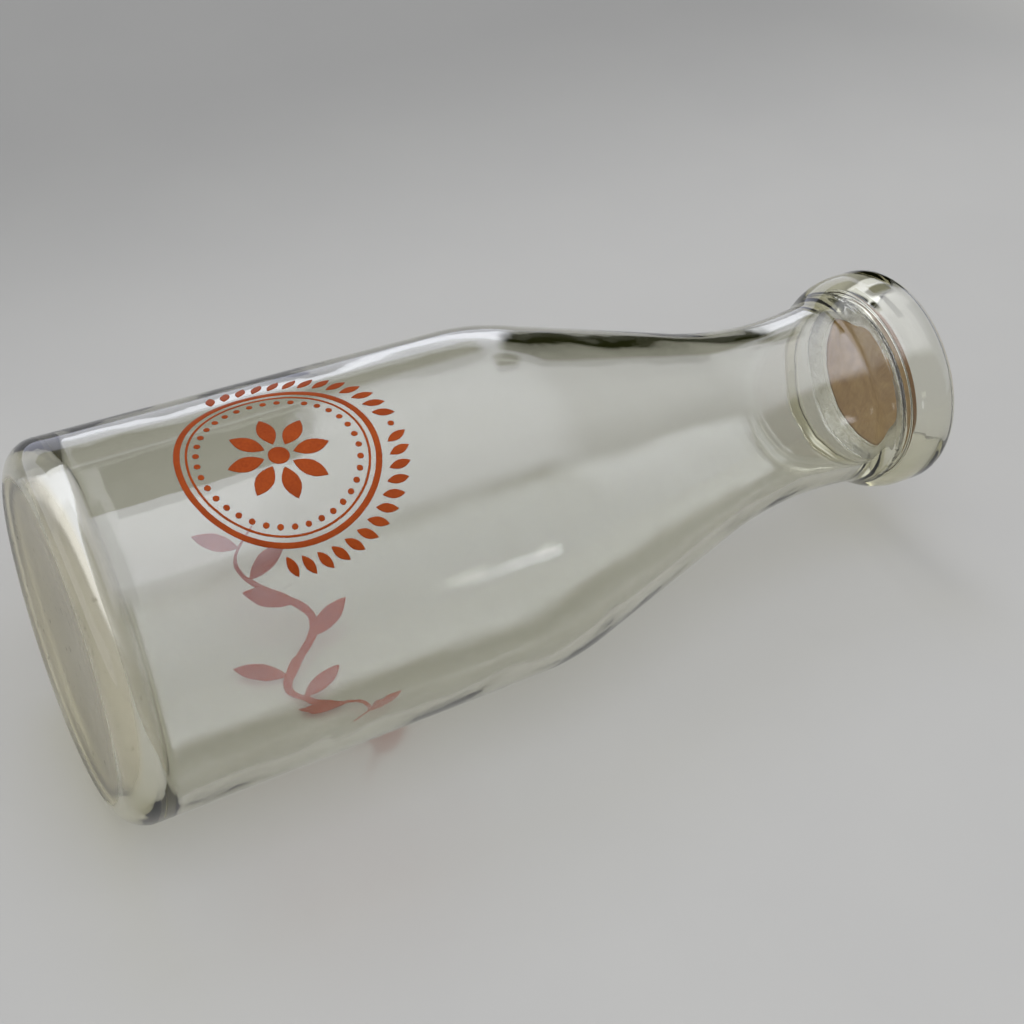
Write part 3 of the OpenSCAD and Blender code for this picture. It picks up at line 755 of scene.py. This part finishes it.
# grey-brown board that has taken up wax and milk: clouded, with fibres lying every way, dark at the rim
def waxedBoard(p):
    material, tree = newMaterial("waxed_paperboard")
    place = addNode(tree, "ShaderNodeTexCoord").outputs["Object"]
    spot = addNode(tree, "ShaderNodeSeparateXYZ", {0: place}).outputs
    level = addNode(tree, "ShaderNodeCombineXYZ", {0: spot["X"], 1: spot["Y"]})
    radius = addNode(tree, "ShaderNodeVectorMath", {0: level}, operation="LENGTH").outputs["Value"]
    lies = []
    for turn in (0.35, 1.5, 2.5):
        laid = addNode(tree, "ShaderNodeMapping", {"Vector": place, "Rotation": (0, 0, turn), "Scale": (1, 0.16, 1)})
        lies.append(addNode(tree, "ShaderNodeTexNoise", {"Vector": laid, "Scale": 1 / (p["fibre"] * mm),
                                                         "Detail": 2.0, "Roughness": 0.6}))
    crossed = addNode(tree, "ShaderNodeMath", {0: lies[0], 1: lies[1]}, operation="ADD")
    fibres = addNode(tree, "ShaderNodeMath", {0: crossed, 1: lies[2]}, operation="ADD")
    cloud = addNode(tree, "ShaderNodeTexNoise", {"Vector": place, "Scale": 1 / (p["cloud"] * mm), "Detail": 3.0,
                                                 "Roughness": 0.55, "Distortion": 0.6})
    fibreShare = addNode(tree, "ShaderNodeMath", {0: fibres, 1: 0.2}, operation="MULTIPLY")
    shade = addNode(tree, "ShaderNodeMath", {0: cloud, 1: 0.75, 2: fibreShare}, operation="MULTIPLY_ADD")
    colour = addNode(tree, "ShaderNodeValToRGB", {0: shade})
    for element, at, tone in zip(colour.color_ramp.elements, (0.5, 0.86), p["tones"]):
        element.position, element.color = at, linear(tone)
    edge = (capHigh[0] / mm - p["soaked"]) * mm
    soaked = addNode(tree, "ShaderNodeMapRange", {0: radius, 1: edge - 0.5 * mm, 2: edge + 0.7 * mm},
                     interpolation_type="SMOOTHSTEP")
    plies = addNode(tree, "ShaderNodeMath", {0: spot["Z"], 1: math.tau / (p["ply"] * mm)}, operation="MULTIPLY")
    wave = addNode(tree, "ShaderNodeMath", {0: plies}, operation="SINE")
    ply = addNode(tree, "ShaderNodeMapRange", {0: wave, 1: -1.0, 2: 1.0, 3: 0.78, 4: 1.0})
    rim = addNode(tree, "ShaderNodeMix", {"Factor": 1.0, "A": linear(p["rimTone"]), "B": ply},
                  data_type="RGBA", blend_type="MULTIPLY")
    stained = addNode(tree, "ShaderNodeMix", {"Factor": soaked, "A": colour, "B": rim}, data_type="RGBA")
    bump = addNode(tree, "ShaderNodeBump", {"Strength": 0.5, "Distance": p["fibreDepth"] * mm, "Height": fibres})
    skin = addNode(tree, "ShaderNodeBsdfPrincipled", {"Base Color": stained, "Roughness": 0.72, "IOR": 1.45,
                                                      "Specular IOR Level": 0.3, "Normal": bump})
    addNode(tree, "ShaderNodeOutputMaterial", {"Surface": skin})
    return material


capPoints = [Vector((q.x, 0, q.y)) * mm for q in capProfile(paper)]
capLine = lineObject("capProfile", capPoints, [0.0] * len(capPoints))
board = grow(capLine, latheTree(), "paperboard_cap", Turns=paper["turns"], Rows=len(capPoints), Wander=0.0,
             Wander_size=10 * mm, Glass=waxedBoard(paper))
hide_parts("paper_cap")
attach(board, "cap")
print("cap pressed,", len(board.data.polygons), "faces")

# ---- stage: a pale sheet in a light tent
# directions on the sheet: along the bottle, across it and up from the sheet
along = Vector((0, 0, 1))
across = tableUp.cross(along)

table = {  # mm
    "distance": 48.6,  # below the bottle's axis
    "size": 1300.0,
    "fadeFrom": 480.0,  # from this far out its rim fades into the tent
    "fleck": 60.0,
    "lit": 120.0,  # painted shade: its colour is painted darker and darker, as if less and less lit, from this far behind the bottle
    "dim": 330.0,  # to this far, where it turns up into the tent's back
    "paintedShadeTo": 0.68,
}


def onTable(a, c, h):
    return along * a + across * c + tableUp * (h - table["distance"])


# a matt pale sheet, hardly flecked, with painted shade that darkens it far behind the bottle, which is clear from below
# so that it hides nothing
def paleSheet(t, turn):
    material, tree = newMaterial("pale_sheet")
    place = addNode(tree, "ShaderNodeTexCoord").outputs["Object"]
    fleck = addNode(tree, "ShaderNodeTexNoise", {"Vector": place, "Scale": 1 / (t["fleck"] * mm), "Detail": 4.0})
    sheet = addNode(tree, "ShaderNodeMix", {"Factor": fleck, "A": linear("#b3b3b3"), "B": linear("#b9b9b8")},
                    data_type="RGBA")
    # painted shade: the sheet's colour is multiplied darker between lit and dim behind the bottle
    farBack = addNode(tree, "ShaderNodeVectorMath", {0: place, 1: turn.inverted() @ across},
                      operation="DOT_PRODUCT").outputs["Value"]
    paintedShadeFactor = addNode(tree, "ShaderNodeMapRange", {0: farBack, 1: t["lit"] * mm, 2: t["dim"] * mm, 3: 1.0,
                                                  4: t["paintedShadeTo"]}, interpolation_type="SMOOTHSTEP")
    sheetWithPaintedShade = addNode(tree, "ShaderNodeMix", {"Factor": 1.0, "A": sheet, "B": paintedShadeFactor}, data_type="RGBA",
                    blend_type="MULTIPLY")
    paint = addNode(tree, "ShaderNodeBsdfPrincipled", {"Base Color": sheetWithPaintedShade, "Roughness": 0.9,
                                                       "Specular IOR Level": 0.1})
    reach = addNode(tree, "ShaderNodeVectorMath", {0: place}, operation="LENGTH").outputs["Value"]
    faded = addNode(tree, "ShaderNodeMapRange", {0: reach, 1: t["fadeFrom"] * mm, 2: t["size"] * mm / 2},
                    interpolation_type="SMOOTHSTEP")
    fromBelow = addNode(tree, "ShaderNodeNewGeometry").outputs["Backfacing"]
    clearPart = addNode(tree, "ShaderNodeMath", {0: fromBelow, 1: faded}, operation="MAXIMUM")
    clear = addNode(tree, "ShaderNodeBsdfTransparent")
    both = addNode(tree, "ShaderNodeMixShader", {0: clearPart, 1: paint, 2: clear})
    addNode(tree, "ShaderNodeOutputMaterial", {"Surface": both})
    return material


tableTurn = tableUp.to_track_quat("Z", "Y")
tableMesh = bpy.data.meshes.new("table_top")
side = table["size"] * mm / 2
tableMesh.from_pydata([(-side, -side, 0), (side, -side, 0), (side, side, 0), (-side, side, 0)], [], [(0, 1, 2, 3)])
tableTop = bpy.data.objects.new("table_top", tableMesh)
bpy.context.collection.objects.link(tableTop)
tableTop.matrix_world = (Matrix.Translation(-tableUp * table["distance"] * mm)
                         @ tableTurn.to_matrix().to_4x4())
tableTop.data.materials.append(paleSheet(table, tableTurn))

# the tent as the glass mirrors it and as it is seen through the glass: each card is a soft-edged patch of it,
# with its bearings along, across and up, how soft its edge is, and its colour and strength
tent = {
    "fill": 0.66,  # what it gives to surfaces that aren't glossy
    "mirrored": {
        "wall": ("#ecefff", 1.2), "roof": ("#ecefff", 3.2), "rise": (0.3, 0.9),
        "cards": [
            ((-1.1, 1.1), (-1.1, -0.5), (-0.3, 0.76), 0.1, ("#ecefff", 0.5)),  # the dim side in front
            ((0.1, 0.3), (-0.5, 0.26), (0.6, 1.1), 0.03, ("#ecefff", 4.2)),  # the opening overhead
            ((0.17, 0.3), (0.26, 0.8), (0.3, 1.1), 0.012, ("#30331a", 1.0)),  # the dark strip behind it
            ((0.5, 0.8), (0.6, 1.1), (-0.3, 0.4), 0.03, ("#30331a", 0.5)),  # dark and low, beyond the neck
            ((0.45, 0.57), (0.6, 0.74), (0.45, 0.65), 0.03, ("#30331a", 0.5)),
            ((-1.1, -0.08), (-1.1, 0.5), (0.2, 1.1), 0.06, ("#ecefff", 0.7)),  # half lit, beyond the heel
            ((-0.3, 0.42), (0.81, 1.1), (0.2, 0.6), 0.03, ("#93938a", 1.0)),  # grey, far behind
            ((0.37, 0.43), (-1.1, -0.7), (-0.06, 0.06), 0.02, ("#f4f5ff", 3.6)),  # what makes the small glint
        ],
    },
    "mirroredFar": {"wall": ("#a9a9a2", 1.0), "roof": ("#e0e5ff", 5.8), "rise": (0.42, 0.72), "cards": []},
    "behind": {
        "wall": ("#c4c4c0", 1.0), "roof": ("#dadad8", 1.0), "rise": (0.0, 0.9),
        "cards": [
            ((0.42, 1.1), (0.2, 1.1), (-0.2, 0.5), 0.05, ("#6a6756", 1.0)),
            ((-0.1, 0.45), (0.7, 1.1), (0.2, 0.6), 0.05, ("#8d8a76", 1.0)),
        ],
    },
}


def glow(colour):
    return [part * colour[1] for part in linear(colour[0])[:3]] + [1.0]


def tentLook(tree, bearings, look):
    height = addNode(tree, "ShaderNodeMapRange", {0: bearings[2], 1: look["rise"][0], 2: look["rise"][1]},
                     interpolation_type="SMOOTHSTEP")
    shade = addNode(tree, "ShaderNodeMix", {"Factor": height, "A": glow(look["wall"]), "B": glow(look["roof"])},
                    data_type="RGBA")
    for *spans, soft, colour in look["cards"]:
        there = 1.0
        for span, part in zip(spans, bearings):
            there = addNode(tree, "ShaderNodeMath", {0: band(tree, part, *span, soft), 1: there},
                            operation="MULTIPLY")
        shade = addNode(tree, "ShaderNodeMix", {"Factor": there, "A": shade, "B": glow(colour)}, data_type="RGBA")
    return shade


scene = bpy.context.scene
scene.view_settings.view_transform = "Standard"
world = bpy.data.worlds.new("tent")
scene.world = world
world.use_nodes = True
tree = world.node_tree
tree.nodes.clear()
looking = addNode(tree, "ShaderNodeTexCoord").outputs["Generated"]
bearings = [addNode(tree, "ShaderNodeVectorMath", {0: looking, 1: way}, operation="DOT_PRODUCT").outputs["Value"]
            for way in (along, across, tableUp)]
path = addNode(tree, "ShaderNodeLightPath").outputs
# what a ray sees depends on how it got here: lit surfaces get the plain fill; a ray turned back by the near
# wall, from its outer skin or its inner one, shows the mirrored tent, and one turned back by the far wall the
# tent's roof; a ray that comes straight through shows what lies behind
seesThrough = addNode(tree, "ShaderNodeMath", {0: path["Is Transmission Ray"], 1: path["Is Camera Ray"]},
                      operation="MAXIMUM")
through = addNode(tree, "ShaderNodeMath", {0: seesThrough, 1: path["Diffuse Depth"]}, operation="SUBTRACT",
                  use_clamp=True)
turned = addNode(tree, "ShaderNodeMath", {0: path["Glossy Depth"], 1: 0.5}, operation="GREATER_THAN")
nearWall = addNode(tree, "ShaderNodeMath", {0: path["Transmission Depth"], 1: 2.5}, operation="LESS_THAN")
nearTurned = addNode(tree, "ShaderNodeMath", {0: turned, 1: nearWall}, operation="MULTIPLY")
mirrors = addNode(tree, "ShaderNodeMath", {0: nearTurned, 1: path["Diffuse Depth"]}, operation="SUBTRACT",
                  use_clamp=True)
fill = addNode(tree, "ShaderNodeBackground", {"Strength": tent["fill"]})
behind = addNode(tree, "ShaderNodeBackground", {"Color": tentLook(tree, bearings, tent["behind"])})
far = addNode(tree, "ShaderNodeBackground", {"Color": tentLook(tree, bearings, tent["mirroredFar"])})
near = addNode(tree, "ShaderNodeBackground", {"Color": tentLook(tree, bearings, tent["mirrored"])})
past = addNode(tree, "ShaderNodeMixShader", {0: turned, 1: behind, 2: far})
clear = addNode(tree, "ShaderNodeMixShader", {0: through, 1: fill, 2: past})
tentSeen = addNode(tree, "ShaderNodeMixShader", {0: mirrors, 1: clear, 2: near})
addNode(tree, "ShaderNodeOutputWorld", {"Surface": tentSeen})


# soft lamps over the tent, which the glass sees only as the tent itself, in mm along, across and up
lamps = {
    "lamp_behind": {"place": (150, 450, 900), "target": (100, 0, 0), "size": (400, 300), "watts": 2.4},
    "lamp_over": {"place": (100, -500, 900), "target": (100, -60, 0), "size": (900, 700), "watts": 5.0},
}
for name, look in lamps.items():
    lamp = bpy.data.lights.new(name, "AREA")
    lamp.shape = "RECTANGLE"
    lamp.size, lamp.size_y = look["size"][0] * mm, look["size"][1] * mm
    lamp.energy = look["watts"]
    made = bpy.data.objects.new(name, lamp)
    bpy.context.collection.objects.link(made)
    spot, target = onTable(*look["place"]) * mm, onTable(*look["target"]) * mm
    made.matrix_world = (Matrix.Translation(spot)
                         @ (target - spot).to_track_quat("-Z", "Y").to_matrix().to_4x4())
    made.visible_glossy = False
    made.visible_transmission = False
print("stage lit")
